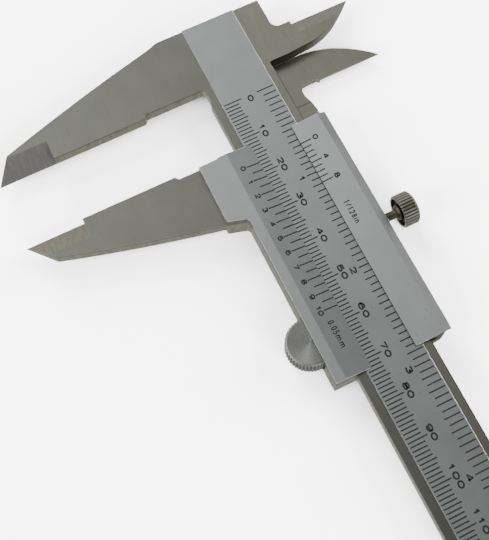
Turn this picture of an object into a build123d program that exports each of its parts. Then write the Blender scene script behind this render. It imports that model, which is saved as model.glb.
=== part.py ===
from build123d import *
import math
import os

# Vernier caliper, 0-200 mm and 0-8 in, set at a reading of 17.46 mm (11/16 in).
# Axes: +X runs along the beam towards its tail, +Y towards the inside jaws, and +Z out of the
# graduated face. The caliper lies on the back of its slider, at Z = 0.
# Each outline below is drawn from the datum: X = 0 at the scale's zero line, Y = 0 on the
# beam's centre line. The model's origin is the bottom centre of its bounding box.

# ---- reading and range (mm) ----
reading = 17.46            # distance between the measuring faces as modelled
full_range = 200.0         # longest reading

# ---- levels, from the slider's back up ----
back_wall_t = 2.45         # slider frame behind the beam
slide_fit = 0.05           # running clearance of beam, slider and roller
jaw_t = 3.10               # thickness of the beam's ledges and of the outside jaws
strip_h = 0.40             # height of the scale strip over the ledges
lip_t = 1.15               # thickness of the slider's front lips

# ---- beam ----
beam_w = 18.2
beam_tail = 266.0          # X of the beam's tail end
strip_w = 13.9
tail_corner_r = 1.0
groove_w = 3.1             # depth-rod groove in the beam's back
groove_d = 1.5
groove_start = 0.0

# ---- head and fixed jaws ----
head_left = -24.0
head_rise = 4.90           # head above and below the beam
outside_face = -5.75       # X of the fixed outside measuring face
inside_edge = -15.5        # X of the fixed inside measuring edge
outside_tip = -63.0        # Y of both outside jaw tips
outside_shoulder = -58.4   # Y where the tips start to slope
outside_tip_w = 5.6        # jaw width at that shoulder
face_start = -24.95        # Y of the upper end of the flat measuring faces
relief_end = -24.15        # Y of the lower end of the relief above them
outside_relief = 1.0       # depth of that relief
knife_start = -48.5        # Y where the knife edges begin
knife_w = 5.0              # width of the ground knife facet
knife_flat = 0.30          # thickness left at a knife edge
jaw_root_w = 17.3          # fixed jaw width under the head
jaw_bulge = 0.45           # outward bow of the jaws' outer edges
corner_r = 1.0             # rounded inner corner between fixed jaw and beam
undercut = 0.42            # depth of the undercut in the beam beside that corner
undercut_len = 3.60        # its length from the fixed measuring face
undercut_slope = 1.30      # length of the slope at its end

inside_tip = 35.1          # Y of the fixed inside tip
inside_step = 18.5         # Y of the shoulder below the inside knife edge
inside_block_left = -14.8  # X of the block under that shoulder
inside_root_w = 9.0        # inside jaw width at its root, from the measuring edge
notch_cut = 0.35           # undercut in the beam beside the inside jaw's root
notch_len = 3.0
notch_slope = 1.2
notch_r = 0.6
inside_fillet_r = 1.9      # fillet between head top and that block

# ---- slider ----
slider_left = -5.16        # X of the slider's left end at reading 0
slider_len = 60.0
side_wall = 5.10           # beam edge to the slider's outer side
top_band_w = 2.0           # sloping band along the top of the front face
top_band_drop = 0.8
end_corner_r = 2.2         # outer corner of the top wall at its right end
end_inner_r = 1.4          # inner corner there, beside the channel
upper_lip_lap = 1.75       # upper lip over the scale strip, on the inch side
lower_lip_lap = 1.40       # lower lip over the scale strip, on the millimetre side
vernier_edge_t = 0.25      # thickness of the bevelled lower lip at its edge
upper_edge_t = 0.35        # thickness of the sloping upper lip at its edge
front_band_w = 2.40        # flat band below the vernier bevel
plate_drop = 4.85          # block that carries the moving jaw, below the slider
plate_left_in = 0.30       # that block's left end, in from the slider's end
plate_w = 15.5
plate_slope = 1.0          # how far its right side leans out towards the slider
plate_fillet_r = 1.4
moving_root_w = 16.3       # moving jaw width under that block
blade_t = 1.50             # thickness of the moving inside jaw, behind the beam plane
blade_step = 0.10          # its blade is ground this much below its root
blade_step_in = 5.8        # that step, from the slider's left end
moving_inside_tip = 34.9
moving_inside_step = 18.6  # Y of the shoulder below its knife edge
root_bottom = 7.0          # Y of the root's lower edge, behind the beam

# ---- gib, clamp ----
gib_t = 1.20
gib_gap = 0.05
gib_end_gap = 1.0
gib_screw_inset = 10.0
gib_screw_r = 1.00
gib_screw_depth = 0.40     # how far the set screws lie below the slider's top
screw_shank_r = 1.15
thread_fit = 0.05
thread_pitch = 0.45
screw_collar_r = 1.90
screw_collar_h = 0.50
screw_head_r = 4.00
screw_head_h = 4.20
screw_head_dome = 0.90
screw_head_gap = 3.60      # slider top to the underside of the head
screw_knurls = 32
screw_knurl_d = 0.32
shoe_r = 0.95
shoe_h = 1.70
shoe_gap = 0.30            # shoe to beam edge, with the clamp let off

# ---- thumb roller ----
roller_inset = 11.0        # from the slider's right end
roller_r = 5.65
roller_t = 5.30
roller_side_gap = 0.10
roller_back = 0.90         # Z of the roller's rear face
roller_chamfer = 0.40
roller_knurls = 44
roller_knurl_d = 0.30
roller_knurl_w = 0.60       # width of a knurl groove just outside the rim
roller_web = 0.70          # metal left in front of the blind bore
axle_r = 1.25
axle_fit = 0.05
axle_seat_fit = 0.02
axle_end_gap = 0.10
ear_r = 3.40               # round ear of the back wall that carries the axle

# ---- back cover and depth rod ----
cover_t = 1.20
cover_fit = 0.05
cover_half_w = 8.5
cover_inset = 3.7          # from each end of the slider
cover_corner_r = 1.5
window_half_w = 4.5
window_margin = 3.0        # ledge at the window's two ends
cover_screw_inset = 3.0
cover_screw_y = 6.5
cover_screw_r = 0.80
cover_screw_head_r = 1.50
cover_screw_recess = 0.10
screw_hole_fit = 0.05
rod_fit = 0.05             # rod to the groove's sides
rod_side_fit = 0.10        # rod to the groove's floor and to the beam's back
rod_foot_len = 7.0
rod_foot_inset = 8.2       # from the slider's left end
rod_tip_relief_len = 5.0
rod_tip_relief_w = 1.2
rivet_r = 0.70
rivet_head_r = 1.20
rivet_spacing = 3.6
rivet_hole_fit = 0.05

# ---- end stop ----
stop_len = 8.0
stop_inset = 1.0
stop_half_w = 7.5
stop_t = 1.40
stop_screw_y = 4.9
stop_screw_r = 1.00
stop_screw_head_r = 1.90
stop_screw_depth = 2.30    # into the beam
slot_w = 0.40
slot_d = 0.35

# ---- derived levels and places ----
beam_back = back_wall_t + slide_fit
ledge_z = beam_back + jaw_t
strip_z = ledge_z + strip_h
lip_z = strip_z + slide_fit
slider_z = lip_z + lip_t
beam_half = beam_w / 2
strip_half = strip_w / 2
head_top = beam_half + head_rise
head_bottom = -head_top
slider_half_w = beam_half + side_wall
upper_lip_edge = strip_half - upper_lip_lap
lower_lip_edge = lower_lip_lap - strip_half
bevel_end = front_band_w - slider_half_w
plate_bottom = -slider_half_w - plate_drop
cover_len = slider_len - 2 * cover_inset
rod_w = groove_w - 2 * rod_fit
rod_t = groove_d - 2 * rod_side_fit
slider_x = slider_left + reading
slider_end = slider_x + slider_len
moving_face = outside_face + reading
moving_edge = inside_edge + reading
channel_top = beam_half + gib_gap + gib_t + gib_gap
rod_end = beam_tail + reading
rod_z = beam_back + rod_side_fit
rod_root = slider_x + rod_foot_inset
screw_axis_x = slider_x + slider_len / 2
mid_z = beam_back + jaw_t / 2
roller_axis_x = slider_end - roller_inset
roller_axis_y = -(beam_half + slide_fit + roller_r)
blade_front = back_wall_t
blade_back = blade_front - blade_t
band_z = slider_z - top_band_drop
centre_x = (head_left + rod_end) / 2
centre_y = (outside_tip + max(inside_tip, moving_inside_tip)) / 2


def level(height):
    """Plane parallel to the beam's faces, with its origin on the scale's zero."""
    return Plane(origin=(-centre_x, -centre_y, height))


def across(x):
    """Plane across the beam at X = x: its local x is +Y and its local y is +Z."""
    return Plane(origin=(x - centre_x, -centre_y, 0), x_dir=(0, 1, 0), z_dir=(1, 0, 0))


def along(y):
    """Plane along the beam at Y = y: its local x is +X, local y is +Z, normal is -Y."""
    return Plane(origin=(-centre_x, y - centre_y, 0), x_dir=(1, 0, 0), z_dir=(0, -1, 0))


def upward(x, y):
    """Plane at mid-thickness with its normal along +Y, centred on X = x at Y = y."""
    return Plane(origin=(x - centre_x, y - centre_y, mid_z), x_dir=(1, 0, 0), z_dir=(0, 1, 0))


def turning(x):
    """Plane for a turned profile with its axis along +Y at X = x: local y is Y."""
    return Plane(origin=(x - centre_x, -centre_y, mid_z), x_dir=(1, 0, 0), z_dir=(0, 0, 1))


def outer_edge(top, bottom):
    """Slightly bowed outer edge of an outside jaw, as three points of an arc."""
    (x0, y0), (x1, y1) = top, bottom
    length = math.hypot(x1 - x0, y1 - y0)
    side = 1 if x0 > x1 else -1
    nx, ny = side * abs(y1 - y0) / length, -abs(x1 - x0) / length
    middle = ((x0 + x1) / 2 + jaw_bulge * nx, (y0 + y1) / 2 + jaw_bulge * ny)
    return top, middle, bottom


os.makedirs("parts", exist_ok=True)

# ---------------------------------------------------------------- main beam with fixed jaws
beam_low = -beam_half
fixed_outer = outer_edge(
    (outside_face - jaw_root_w, head_bottom - 2.6),
    (outside_face - outside_tip_w, outside_shoulder),
)
corner_centre = (
    outside_face - outside_relief + corner_r,
    beam_low + undercut - corner_r,
)
inner_corner_arc = (
    (corner_centre[0] - corner_r, corner_centre[1]),
    (
        corner_centre[0] - corner_r * math.cos(math.pi / 4),
        corner_centre[1] + corner_r * math.sin(math.pi / 4),
    ),
    (corner_centre[0], corner_centre[1] + corner_r),
)
notch_x, notch_y = inside_edge + inside_root_w, beam_half - notch_cut
notch_arc = (
    (notch_x + notch_r, notch_y),
    (
        notch_x + notch_r * (1 - math.cos(math.pi / 4)),
        notch_y + notch_r * (1 - math.sin(math.pi / 4)),
    ),
    (notch_x, notch_y + notch_r),
)
inside_span = inside_tip - inside_step
fixed_inside_right = [
    (inside_edge + 0.18 * inside_root_w, inside_tip - 0.10 * inside_span),
    (inside_edge + 0.42 * inside_root_w, inside_tip - 0.26 * inside_span),
    (inside_edge + 0.66 * inside_root_w, inside_tip - 0.44 * inside_span),
    (inside_edge + 0.86 * inside_root_w, inside_tip - 0.68 * inside_span),
    (inside_edge + 0.96 * inside_root_w, inside_step - 0.3),
]
with BuildPart() as main_beam:
    # beam, head and both fixed jaws in one outline, as thick as the ledges
    with BuildSketch(level(beam_back)):
        with BuildLine():
            Polyline(
                (head_left, head_top),
                (head_left, head_bottom),
                fixed_outer[0],
            )
            ThreePointArc(*fixed_outer)
            Polyline(
                fixed_outer[2],
                (outside_face, outside_tip),
                (outside_face, face_start),
                (outside_face - outside_relief, relief_end),
                inner_corner_arc[0],
            )
            ThreePointArc(*inner_corner_arc)
            Polyline(
                inner_corner_arc[2],
                (outside_face + undercut_len - undercut_slope, beam_low + undercut),
                (outside_face + undercut_len, beam_low),
                (beam_tail, beam_low),
                (beam_tail, beam_half),
                (notch_x + notch_len, beam_half),
                (notch_x + notch_len - notch_slope, notch_y),
                notch_arc[0],
            )
            ThreePointArc(*notch_arc)
            Polyline(
                notch_arc[2],
                (notch_x, inside_step - 4.0),
                fixed_inside_right[4],
            )
            Spline(
                fixed_inside_right[4],
                fixed_inside_right[3],
                fixed_inside_right[2],
                fixed_inside_right[1],
                fixed_inside_right[0],
                (inside_edge, inside_tip),
            )
            Polyline(
                (inside_edge, inside_tip),
                (inside_edge, inside_step),
                (inside_block_left, inside_step),
                (inside_block_left, head_top + inside_fillet_r),
            )
            RadiusArc(
                (inside_block_left, head_top + inside_fillet_r),
                (inside_block_left - inside_fillet_r, head_top),
                inside_fillet_r,
            )
            Line((inside_block_left - inside_fillet_r, head_top), (head_left, head_top))
        make_face()
    extrude(amount=jaw_t)
    # raised scale strip over the whole length
    with BuildSketch(level(ledge_z)):
        with Locations(((head_left + beam_tail) / 2, 0)):
            Rectangle(beam_tail - head_left, strip_w)
    extrude(amount=strip_h)
    # knife facet of the outside jaw, ground from the front down to an edge at the back
    with BuildSketch(along(knife_start)):
        Polygon(
            (outside_face + 1, ledge_z + 1),
            (outside_face + 1, beam_back + knife_flat),
            (outside_face, beam_back + knife_flat),
            (outside_face - knife_w, ledge_z),
            (outside_face - knife_w, ledge_z + 1),
            align=None,
        )
    extrude(amount=knife_start - outside_tip + 1, mode=Mode.SUBTRACT)
    # knife facet of the inside jaw
    with BuildSketch(along(inside_step)):
        Polygon(
            (inside_edge - 1, ledge_z + 1),
            (inside_edge - 1, beam_back + knife_flat),
            (inside_edge, beam_back + knife_flat),
            (inside_edge + knife_w - 0.4, ledge_z),
            (inside_edge + knife_w - 0.4, ledge_z + 1),
            align=None,
        )
    extrude(amount=-(inside_tip - inside_step + 1), mode=Mode.SUBTRACT)
    # depth-rod groove in the back
    with BuildSketch(level(beam_back)):
        with Locations(((groove_start + beam_tail) / 2, 0)):
            Rectangle(beam_tail - groove_start, groove_w)
    extrude(amount=groove_d, mode=Mode.SUBTRACT)
    # tapped blind holes for the end stop
    with BuildSketch(level(beam_back)):
        with Locations(
            (beam_tail - stop_inset - stop_len / 2, stop_screw_y),
            (beam_tail - stop_inset - stop_len / 2, -stop_screw_y),
        ):
            Circle(stop_screw_r + screw_hole_fit)
    extrude(amount=stop_screw_depth + 0.2, mode=Mode.SUBTRACT)
    tail_edges = main_beam.edges().filter_by(Axis.Z).group_by(Axis.X)[-1]
    corner_edges = tail_edges.sort_by(Axis.Y)
    fillet([corner_edges[0], corner_edges[-1]], radius=tail_corner_r)
main_beam.part.label = "main_beam"

# ---------------------------------------------------------------- slider frame
plate_left = slider_x + plate_left_in
plate_right = plate_left + plate_w
moving_outer = outer_edge(
    (moving_face + moving_root_w, plate_bottom),
    (moving_face + outside_tip_w + 0.6, outside_shoulder + 0.9),
)
# left edge of the moving inside jaw, as drops from its tip
blade_left = [
    (moving_edge - 2.3, moving_inside_tip - 2.4),
    (moving_edge - 4.0, moving_inside_tip - 4.7),
    (moving_edge - 6.4, moving_inside_tip - 8.8),
    (moving_edge - 7.8, moving_inside_tip - 12.4),
    (moving_edge - 8.6, moving_inside_tip - 17.0),
]
cover_x = slider_x + cover_inset
window_x = cover_x + window_margin
window_len = cover_len - 2 * window_margin
cover_screw_places = [
    (cover_x + cover_screw_inset, cover_screw_y),
    (cover_x + cover_screw_inset, -cover_screw_y),
    (cover_x + cover_len - cover_screw_inset, cover_screw_y),
    (cover_x + cover_len - cover_screw_inset, -cover_screw_y),
]
gib_screw_places = [slider_x + gib_screw_inset, slider_end - gib_screw_inset]
with BuildPart() as slider_frame:
    # body behind the front face, with one rounded corner at its top right
    with BuildSketch(level(0)):
        with BuildLine():
            Polyline(
                (slider_end - end_corner_r, slider_half_w),
                (slider_x, slider_half_w),
                (slider_x, -slider_half_w),
                (slider_end, -slider_half_w),
                (slider_end, slider_half_w - end_corner_r),
            )
            RadiusArc(
                (slider_end, slider_half_w - end_corner_r),
                (slider_end - end_corner_r, slider_half_w),
                -end_corner_r,
            )
        make_face()
    extrude(amount=band_z)
    # front layer, square at its corners
    with BuildSketch(level(band_z)):
        with Locations(((slider_x + slider_end) / 2, 0)):
            Rectangle(slider_len, 2 * slider_half_w)
    extrude(amount=top_band_drop)
    # block that carries the moving outside jaw
    with BuildSketch(level(0)):
        with BuildLine():
            Polyline(
                (plate_left, -slider_half_w + 1),
                (plate_left, plate_bottom),
                (plate_right, plate_bottom),
                (plate_right + plate_slope, -slider_half_w - plate_fillet_r),
            )
            Line(
                (plate_right + plate_slope, -slider_half_w - plate_fillet_r),
                (plate_right + plate_slope + 0.3, -slider_half_w - 0.45),
            )
            Line(
                (plate_right + plate_slope + 0.3, -slider_half_w - 0.45),
                (plate_right + plate_slope + 0.3 + plate_fillet_r / 2, -slider_half_w),
            )
            Polyline(
                (plate_right + plate_slope + 0.3 + plate_fillet_r / 2, -slider_half_w),
                (plate_right + plate_slope + 2, -slider_half_w + 1),
                (plate_left, -slider_half_w + 1),
            )
        make_face()
    extrude(amount=slider_z)
    # moving outside jaw, level with the fixed one
    with BuildSketch(level(beam_back)):
        with BuildLine():
            Polyline(
                (moving_face + moving_root_w, plate_bottom),
                (moving_face + moving_root_w, plate_bottom + 2),
                (plate_left, plate_bottom + 2),
                (plate_left, relief_end),
                (moving_face, face_start),
                (moving_face, outside_tip),
                moving_outer[2],
            )
            ThreePointArc(*moving_outer)
        make_face()
    extrude(amount=jaw_t)
    # moving inside jaw, just behind the plane of the beam
    with BuildSketch(level(blade_back)):
        with BuildLine():
            Spline(
                (moving_edge, moving_inside_tip),
                blade_left[0],
                blade_left[1],
                blade_left[2],
                blade_left[3],
                blade_left[4],
            )
            Polyline(
                blade_left[4],
                (moving_edge - 8.7, root_bottom),
                (slider_x + 2, root_bottom),
                (slider_x + 2, slider_half_w),
                (slider_x - 3.5, slider_half_w),
                (slider_x - 6.0, slider_half_w - 0.4),
                (slider_x - 8.0, slider_half_w - 1.0),
                (slider_x - 9.3, slider_half_w - 1.0),
                (moving_edge - 0.5, slider_half_w - 0.2),
                (moving_edge - 0.6, moving_inside_step - 1.0),
                (moving_edge, moving_inside_step),
                (moving_edge, moving_inside_tip),
            )
        make_face()
    extrude(amount=blade_t)
    # the blade is ground slightly below its root
    with BuildSketch(level(blade_front - blade_step)):
        with Locations((slider_x - blade_step_in - 20, root_bottom + 20)):
            Rectangle(40, 40)
    extrude(amount=2 * blade_step, mode=Mode.SUBTRACT)
    # its knife bevel, on the rear side
    with BuildSketch(along(moving_inside_step)):
        Polygon(
            (moving_edge + 1, blade_back - 1),
            (moving_edge + 1, blade_front - blade_step - knife_flat),
            (moving_edge, blade_front - blade_step - knife_flat),
            (moving_edge - 2.4, blade_back),
            (moving_edge - 2.4, blade_back - 1),
            align=None,
        )
    extrude(amount=-(moving_inside_tip - moving_inside_step + 1), mode=Mode.SUBTRACT)
    # knife facet of the moving outside jaw
    with BuildSketch(along(knife_start)):
        Polygon(
            (moving_face - 1, ledge_z + 1),
            (moving_face - 1, beam_back + knife_flat),
            (moving_face, beam_back + knife_flat),
            (moving_face + knife_w, ledge_z),
            (moving_face + knife_w, ledge_z + 1),
            align=None,
        )
    extrude(amount=knife_start - outside_tip + 1, mode=Mode.SUBTRACT)
    # channel for the beam and the gib, and the space over the scale strip
    with BuildSketch(across(slider_x - 1)):
        with BuildLine():
            Polyline(
                (-beam_half - slide_fit, back_wall_t),
                (channel_top, back_wall_t),
                (channel_top, ledge_z + slide_fit),
                (strip_half + 2 * slide_fit, ledge_z + slide_fit),
                (strip_half + 2 * slide_fit, lip_z),
                (-strip_half - 2 * slide_fit, lip_z),
                (-strip_half - 2 * slide_fit, ledge_z + slide_fit),
                (-beam_half - slide_fit, ledge_z + slide_fit),
                close=True,
            )
        make_face()
    extrude(amount=slider_len + 2, mode=Mode.SUBTRACT)
    # opening between the lips, both lips' bevels and the sloping top band
    with BuildSketch(across(slider_x - 1)):
        Polygon(
            (lower_lip_edge, lip_z - 0.2),
            (upper_lip_edge, lip_z - 0.2),
            (upper_lip_edge, slider_z + 1),
            (lower_lip_edge, slider_z + 1),
            align=None,
        )
        Polygon(
            (lower_lip_edge + 0.1, lip_z + vernier_edge_t),
            (lower_lip_edge + 0.1, slider_z + 1),
            (bevel_end, slider_z + 1),
            (bevel_end, slider_z),
            (lower_lip_edge, lip_z + vernier_edge_t),
            align=None,
        )
        Polygon(
            (upper_lip_edge, lip_z + upper_edge_t),
            (slider_half_w - top_band_w, slider_z),
            (slider_half_w - top_band_w, slider_z + 1),
            (upper_lip_edge - 0.1, slider_z + 1),
            (upper_lip_edge - 0.1, lip_z + upper_edge_t),
            align=None,
        )
        Polygon(
            (slider_half_w + 1, band_z),
            (slider_half_w + 1, slider_z + 1),
            (slider_half_w - top_band_w, slider_z + 1),
            (slider_half_w - top_band_w, slider_z),
            (slider_half_w, band_z),
            align=None,
        )
    extrude(amount=slider_len + 2, mode=Mode.SUBTRACT)
    # round ear of the back wall for the roller's axle
    with BuildSketch(level(0)):
        with Locations((roller_axis_x, roller_axis_y)):
            Circle(ear_r)
        with Locations((roller_axis_x, roller_axis_y + 2)):
            Rectangle(2 * ear_r, 4)
    extrude(amount=roller_back - roller_side_gap)
    # pocket for the roller, open towards the beam and downwards
    with BuildSketch(level(roller_back - roller_side_gap)):
        with Locations((roller_axis_x, roller_axis_y)):
            Circle(roller_r + 0.35)
        with Locations((roller_axis_x, roller_axis_y - 4)):
            Rectangle(2 * roller_r + 0.7, 8)
    extrude(amount=roller_t + 2 * roller_side_gap, mode=Mode.SUBTRACT)
    # axle seat
    with BuildSketch(level(0)):
        with Locations((roller_axis_x, roller_axis_y)):
            Circle(axle_r + axle_seat_fit)
    extrude(amount=roller_back, mode=Mode.SUBTRACT)
    # recess and window in the back wall for cover and depth rod
    with BuildSketch(level(0)):
        with Locations((cover_x + cover_len / 2, 0)):
            RectangleRounded(
                cover_len + 2 * cover_fit, 2 * (cover_half_w + cover_fit), cover_corner_r
            )
    extrude(amount=cover_t, mode=Mode.SUBTRACT)
    with BuildSketch(level(0)):
        with Locations((window_x + window_len / 2, 0)):
            Rectangle(window_len, 2 * window_half_w)
    extrude(amount=back_wall_t + 0.01, mode=Mode.SUBTRACT)
    with BuildSketch(level(0)):
        with Locations(*cover_screw_places):
            Circle(cover_screw_r + screw_hole_fit)
    extrude(amount=back_wall_t + 0.01, mode=Mode.SUBTRACT)
    # bore for the clamp screw and its shoe, and bores for the gib screws
    with BuildSketch(upward(0, channel_top - 0.5)):
        with Locations((screw_axis_x, 0)):
            Circle(screw_shank_r + thread_fit)
        for x in gib_screw_places:
            with Locations((x, 0)):
                Circle(gib_screw_r + thread_fit)
    extrude(amount=slider_half_w - channel_top + 1.5, mode=Mode.SUBTRACT)
    inner_corner = (
        slider_frame.edges()
        .filter_by(Axis.Z)
        .filter_by_position(Axis.X, slider_end - centre_x - 0.01, slider_end - centre_x + 0.01)
        .filter_by_position(Axis.Y, channel_top - centre_y - 0.01, channel_top - centre_y + 0.01)
    )
    fillet(inner_corner, radius=end_inner_r)
slider_frame.part.label = "slider_frame"

# ---------------------------------------------------------------- gib and its set screws
with BuildPart() as gib:
    with BuildSketch(upward(0, beam_half + gib_gap)):
        with Locations(((slider_x + slider_end) / 2, 0)):
            Rectangle(slider_len - 2 * gib_end_gap, jaw_t - 0.3)
        with Locations((screw_axis_x, 0)):
            Circle(shoe_r + 2 * thread_fit, mode=Mode.SUBTRACT)
    extrude(amount=gib_t)
gib.part.label = "gib"

gib_screw_top = slider_half_w - gib_screw_depth
gib_screw_low = beam_half + gib_gap + gib_t
with BuildPart() as gib_screws:
    for x in gib_screw_places:
        with BuildSketch(upward(x, gib_screw_low)):
            Circle(gib_screw_r)
        extrude(amount=gib_screw_top - gib_screw_low)
        with BuildSketch(upward(x, gib_screw_top)):
            Rectangle(3 * gib_screw_r, slot_w)
        extrude(amount=-slot_d * 2, mode=Mode.SUBTRACT)
gib_screws.part.label = "gib_screws"

# ---------------------------------------------------------------- clamp shoe and clamp screw
shoe_low = beam_half + shoe_gap
shoe_top = shoe_low + shoe_h
with BuildPart() as clamp_shoe:
    with BuildSketch(upward(screw_axis_x, shoe_low)):
        Circle(shoe_r)
    extrude(amount=shoe_h)
clamp_shoe.part.label = "clamp_shoe"

head_low = slider_half_w + screw_head_gap
head_high = head_low + screw_head_h
with BuildPart() as clamp_screw:
    with BuildSketch(turning(screw_axis_x)):
        with BuildLine():
            Polyline(
                (0, shoe_top),
                (screw_shank_r - 0.2, shoe_top),
                (screw_shank_r, shoe_top + 0.2),
                (screw_shank_r, head_low - screw_collar_h - 0.3),
                (screw_collar_r - 0.3, head_low - screw_collar_h),
                (screw_collar_r, head_low),
                (screw_head_r - 0.35, head_low),
                (screw_head_r, head_low + 0.35),
                (screw_head_r, head_high - screw_head_dome),
                (screw_head_r - 0.30, head_high - 0.55 * screw_head_dome),
                (screw_head_r - 0.95, head_high - 0.15 * screw_head_dome),
                (screw_head_r - 1.8, head_high),
                (0, head_high),
                close=True,
            )
        make_face()
    revolve(axis=Axis((screw_axis_x - centre_x, 0, mid_z), (0, 1, 0)))
    # straight knurl round the head
    with BuildSketch(upward(screw_axis_x, head_low)):
        with PolarLocations(screw_head_r + 0.05, screw_knurls):
            Polygon(
                (0.1, -0.30),
                (0.1, 0.30),
                (-screw_knurl_d - 0.05, 0),
                align=None,
            )
    extrude(amount=screw_head_h, mode=Mode.SUBTRACT)
clamp_screw.part.label = "clamp_screw"

# ---------------------------------------------------------------- thumb roller and axle
with BuildPart() as thumb_roller:
    with BuildSketch(level(roller_back)):
        with Locations((roller_axis_x, roller_axis_y)):
            Circle(roller_r)
    extrude(amount=roller_t)
    chamfer(thumb_roller.edges().filter_by(GeomType.CIRCLE), length=roller_chamfer)
    with BuildSketch(level(roller_back)):
        with Locations((roller_axis_x, roller_axis_y)):
            Circle(axle_r + axle_fit)
    extrude(amount=roller_t - roller_web, mode=Mode.SUBTRACT)
    with BuildSketch(level(roller_back)):
        with Locations((roller_axis_x, roller_axis_y)):
            with PolarLocations(roller_r, roller_knurls):
                Polygon(
                    (0.1, -roller_knurl_w / 2),
                    (0.1, roller_knurl_w / 2),
                    (-roller_knurl_d, 0),
                    align=None,
                )
    extrude(amount=roller_t, mode=Mode.SUBTRACT)
thumb_roller.part.label = "thumb_roller"

with BuildPart() as roller_axle:
    with BuildSketch(level(0)):
        with Locations((roller_axis_x, roller_axis_y)):
            Circle(axle_r)
    extrude(amount=roller_back + roller_t - roller_web - axle_end_gap)
roller_axle.part.label = "roller_axle"

# ---------------------------------------------------------------- back cover, its screws
rivet_places = [
    (rod_root + rod_foot_len / 2 - rivet_spacing / 2, 0),
    (rod_root + rod_foot_len / 2 + rivet_spacing / 2, 0),
]
with BuildPart() as back_cover:
    with BuildSketch(level(0)):
        with Locations((cover_x + cover_len / 2, 0)):
            RectangleRounded(cover_len, 2 * cover_half_w, cover_corner_r)
        with Locations(*cover_screw_places):
            Circle(cover_screw_r + screw_hole_fit, mode=Mode.SUBTRACT)
        with Locations(*rivet_places):
            Circle(rivet_r + rivet_hole_fit, mode=Mode.SUBTRACT)
    extrude(amount=cover_t)
    for x, y in cover_screw_places:
        with BuildSketch(level(0)):
            with Locations((x, y)):
                Circle(cover_screw_head_r + screw_hole_fit + cover_screw_recess)
        extrude(
            amount=cover_screw_head_r - cover_screw_r + cover_screw_recess,
            taper=45,
            mode=Mode.SUBTRACT,
        )
    for x, y in rivet_places:
        with BuildSketch(level(0)):
            with Locations((x, y)):
                Circle(rivet_head_r + rivet_hole_fit)
        extrude(amount=rivet_head_r - rivet_r, taper=45, mode=Mode.SUBTRACT)
back_cover.part.label = "back_cover"

with BuildPart() as back_cover_screws:
    for x, y in cover_screw_places:
        with BuildSketch(level(cover_screw_recess)):
            with Locations((x, y)):
                Circle(cover_screw_head_r)
        extrude(amount=cover_screw_head_r - cover_screw_r, taper=45)
        with BuildSketch(level(cover_screw_recess)):
            with Locations((x, y)):
                Circle(cover_screw_r)
        extrude(amount=back_wall_t - 2 * cover_screw_recess)
        with BuildSketch(level(cover_screw_recess)):
            with Locations((x, y)):
                Rectangle(3 * cover_screw_head_r, slot_w)
        extrude(amount=slot_d, mode=Mode.SUBTRACT)
back_cover_screws.part.label = "back_cover_screws"

# ---------------------------------------------------------------- depth rod and its rivets
with BuildPart() as depth_rod:
    with BuildSketch(level(rod_z)):
        with Locations(((rod_root + rod_end) / 2, 0)):
            Rectangle(rod_end - rod_root, rod_w)
    extrude(amount=rod_t)
    # foot that reaches through the window to the cover
    with BuildSketch(level(cover_t)):
        with Locations((rod_root + rod_foot_len / 2, 0)):
            Rectangle(rod_foot_len, rod_w)
    extrude(amount=rod_z - cover_t + rod_t / 2)
    # relief at the measuring end, to clear a fillet in a corner
    with BuildSketch(level(rod_z)):
        with Locations((rod_end - rod_tip_relief_len / 2, -rod_w / 2 + rod_tip_relief_w / 2)):
            Rectangle(rod_tip_relief_len, rod_tip_relief_w)
    extrude(amount=rod_t, mode=Mode.SUBTRACT)
    with BuildSketch(level(cover_t)):
        with Locations(*rivet_places):
            Circle(rivet_r + rivet_hole_fit)
    extrude(amount=rod_z - cover_t + rod_t / 2, mode=Mode.SUBTRACT)
depth_rod.part.label = "depth_rod"

with BuildPart() as depth_rod_rivets:
    for x, y in rivet_places:
        with BuildSketch(level(0)):
            with Locations((x, y)):
                Circle(rivet_head_r)
        extrude(amount=rivet_head_r - rivet_r, taper=45)
        with BuildSketch(level(0)):
            with Locations((x, y)):
                Circle(rivet_r)
        extrude(amount=rod_z + rod_t / 2 - 0.1)
depth_rod_rivets.part.label = "depth_rod_rivets"

# ---------------------------------------------------------------- end stop and its screws
stop_x = beam_tail - stop_inset - stop_len / 2
stop_low = beam_back - stop_t
with BuildPart() as end_stop:
    with BuildSketch(level(stop_low)):
        with Locations((stop_x, 0)):
            RectangleRounded(stop_len, 2 * stop_half_w, 0.8)
        with Locations((stop_x, stop_screw_y), (stop_x, -stop_screw_y)):
            Circle(stop_screw_r + screw_hole_fit, mode=Mode.SUBTRACT)
    extrude(amount=stop_t)
    for y in (stop_screw_y, -stop_screw_y):
        with BuildSketch(level(stop_low)):
            with Locations((stop_x, y)):
                Circle(stop_screw_head_r + screw_hole_fit)
        extrude(amount=stop_screw_head_r - stop_screw_r, taper=45, mode=Mode.SUBTRACT)
end_stop.part.label = "end_stop"

with BuildPart() as end_stop_screws:
    for y in (stop_screw_y, -stop_screw_y):
        with BuildSketch(level(stop_low)):
            with Locations((stop_x, y)):
                Circle(stop_screw_head_r)
        extrude(amount=stop_screw_head_r - stop_screw_r, taper=45)
        with BuildSketch(level(stop_low)):
            with Locations((stop_x, y)):
                Circle(stop_screw_r)
        extrude(amount=stop_t + stop_screw_depth)
        with BuildSketch(level(stop_low)):
            with Locations((stop_x, y)):
                Rectangle(3 * stop_screw_head_r, slot_w)
        extrude(amount=slot_d, mode=Mode.SUBTRACT)
end_stop_screws.part.label = "end_stop_screws"

for piece in (
    main_beam,
    slider_frame,
    gib,
    gib_screws,
    clamp_shoe,
    clamp_screw,
    thumb_roller,
    roller_axle,
    back_cover,
    back_cover_screws,
    depth_rod,
    depth_rod_rivets,
    end_stop,
    end_stop_screws,
):
    export_step(piece.part, f"parts/{piece.part.label}.step")
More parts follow.
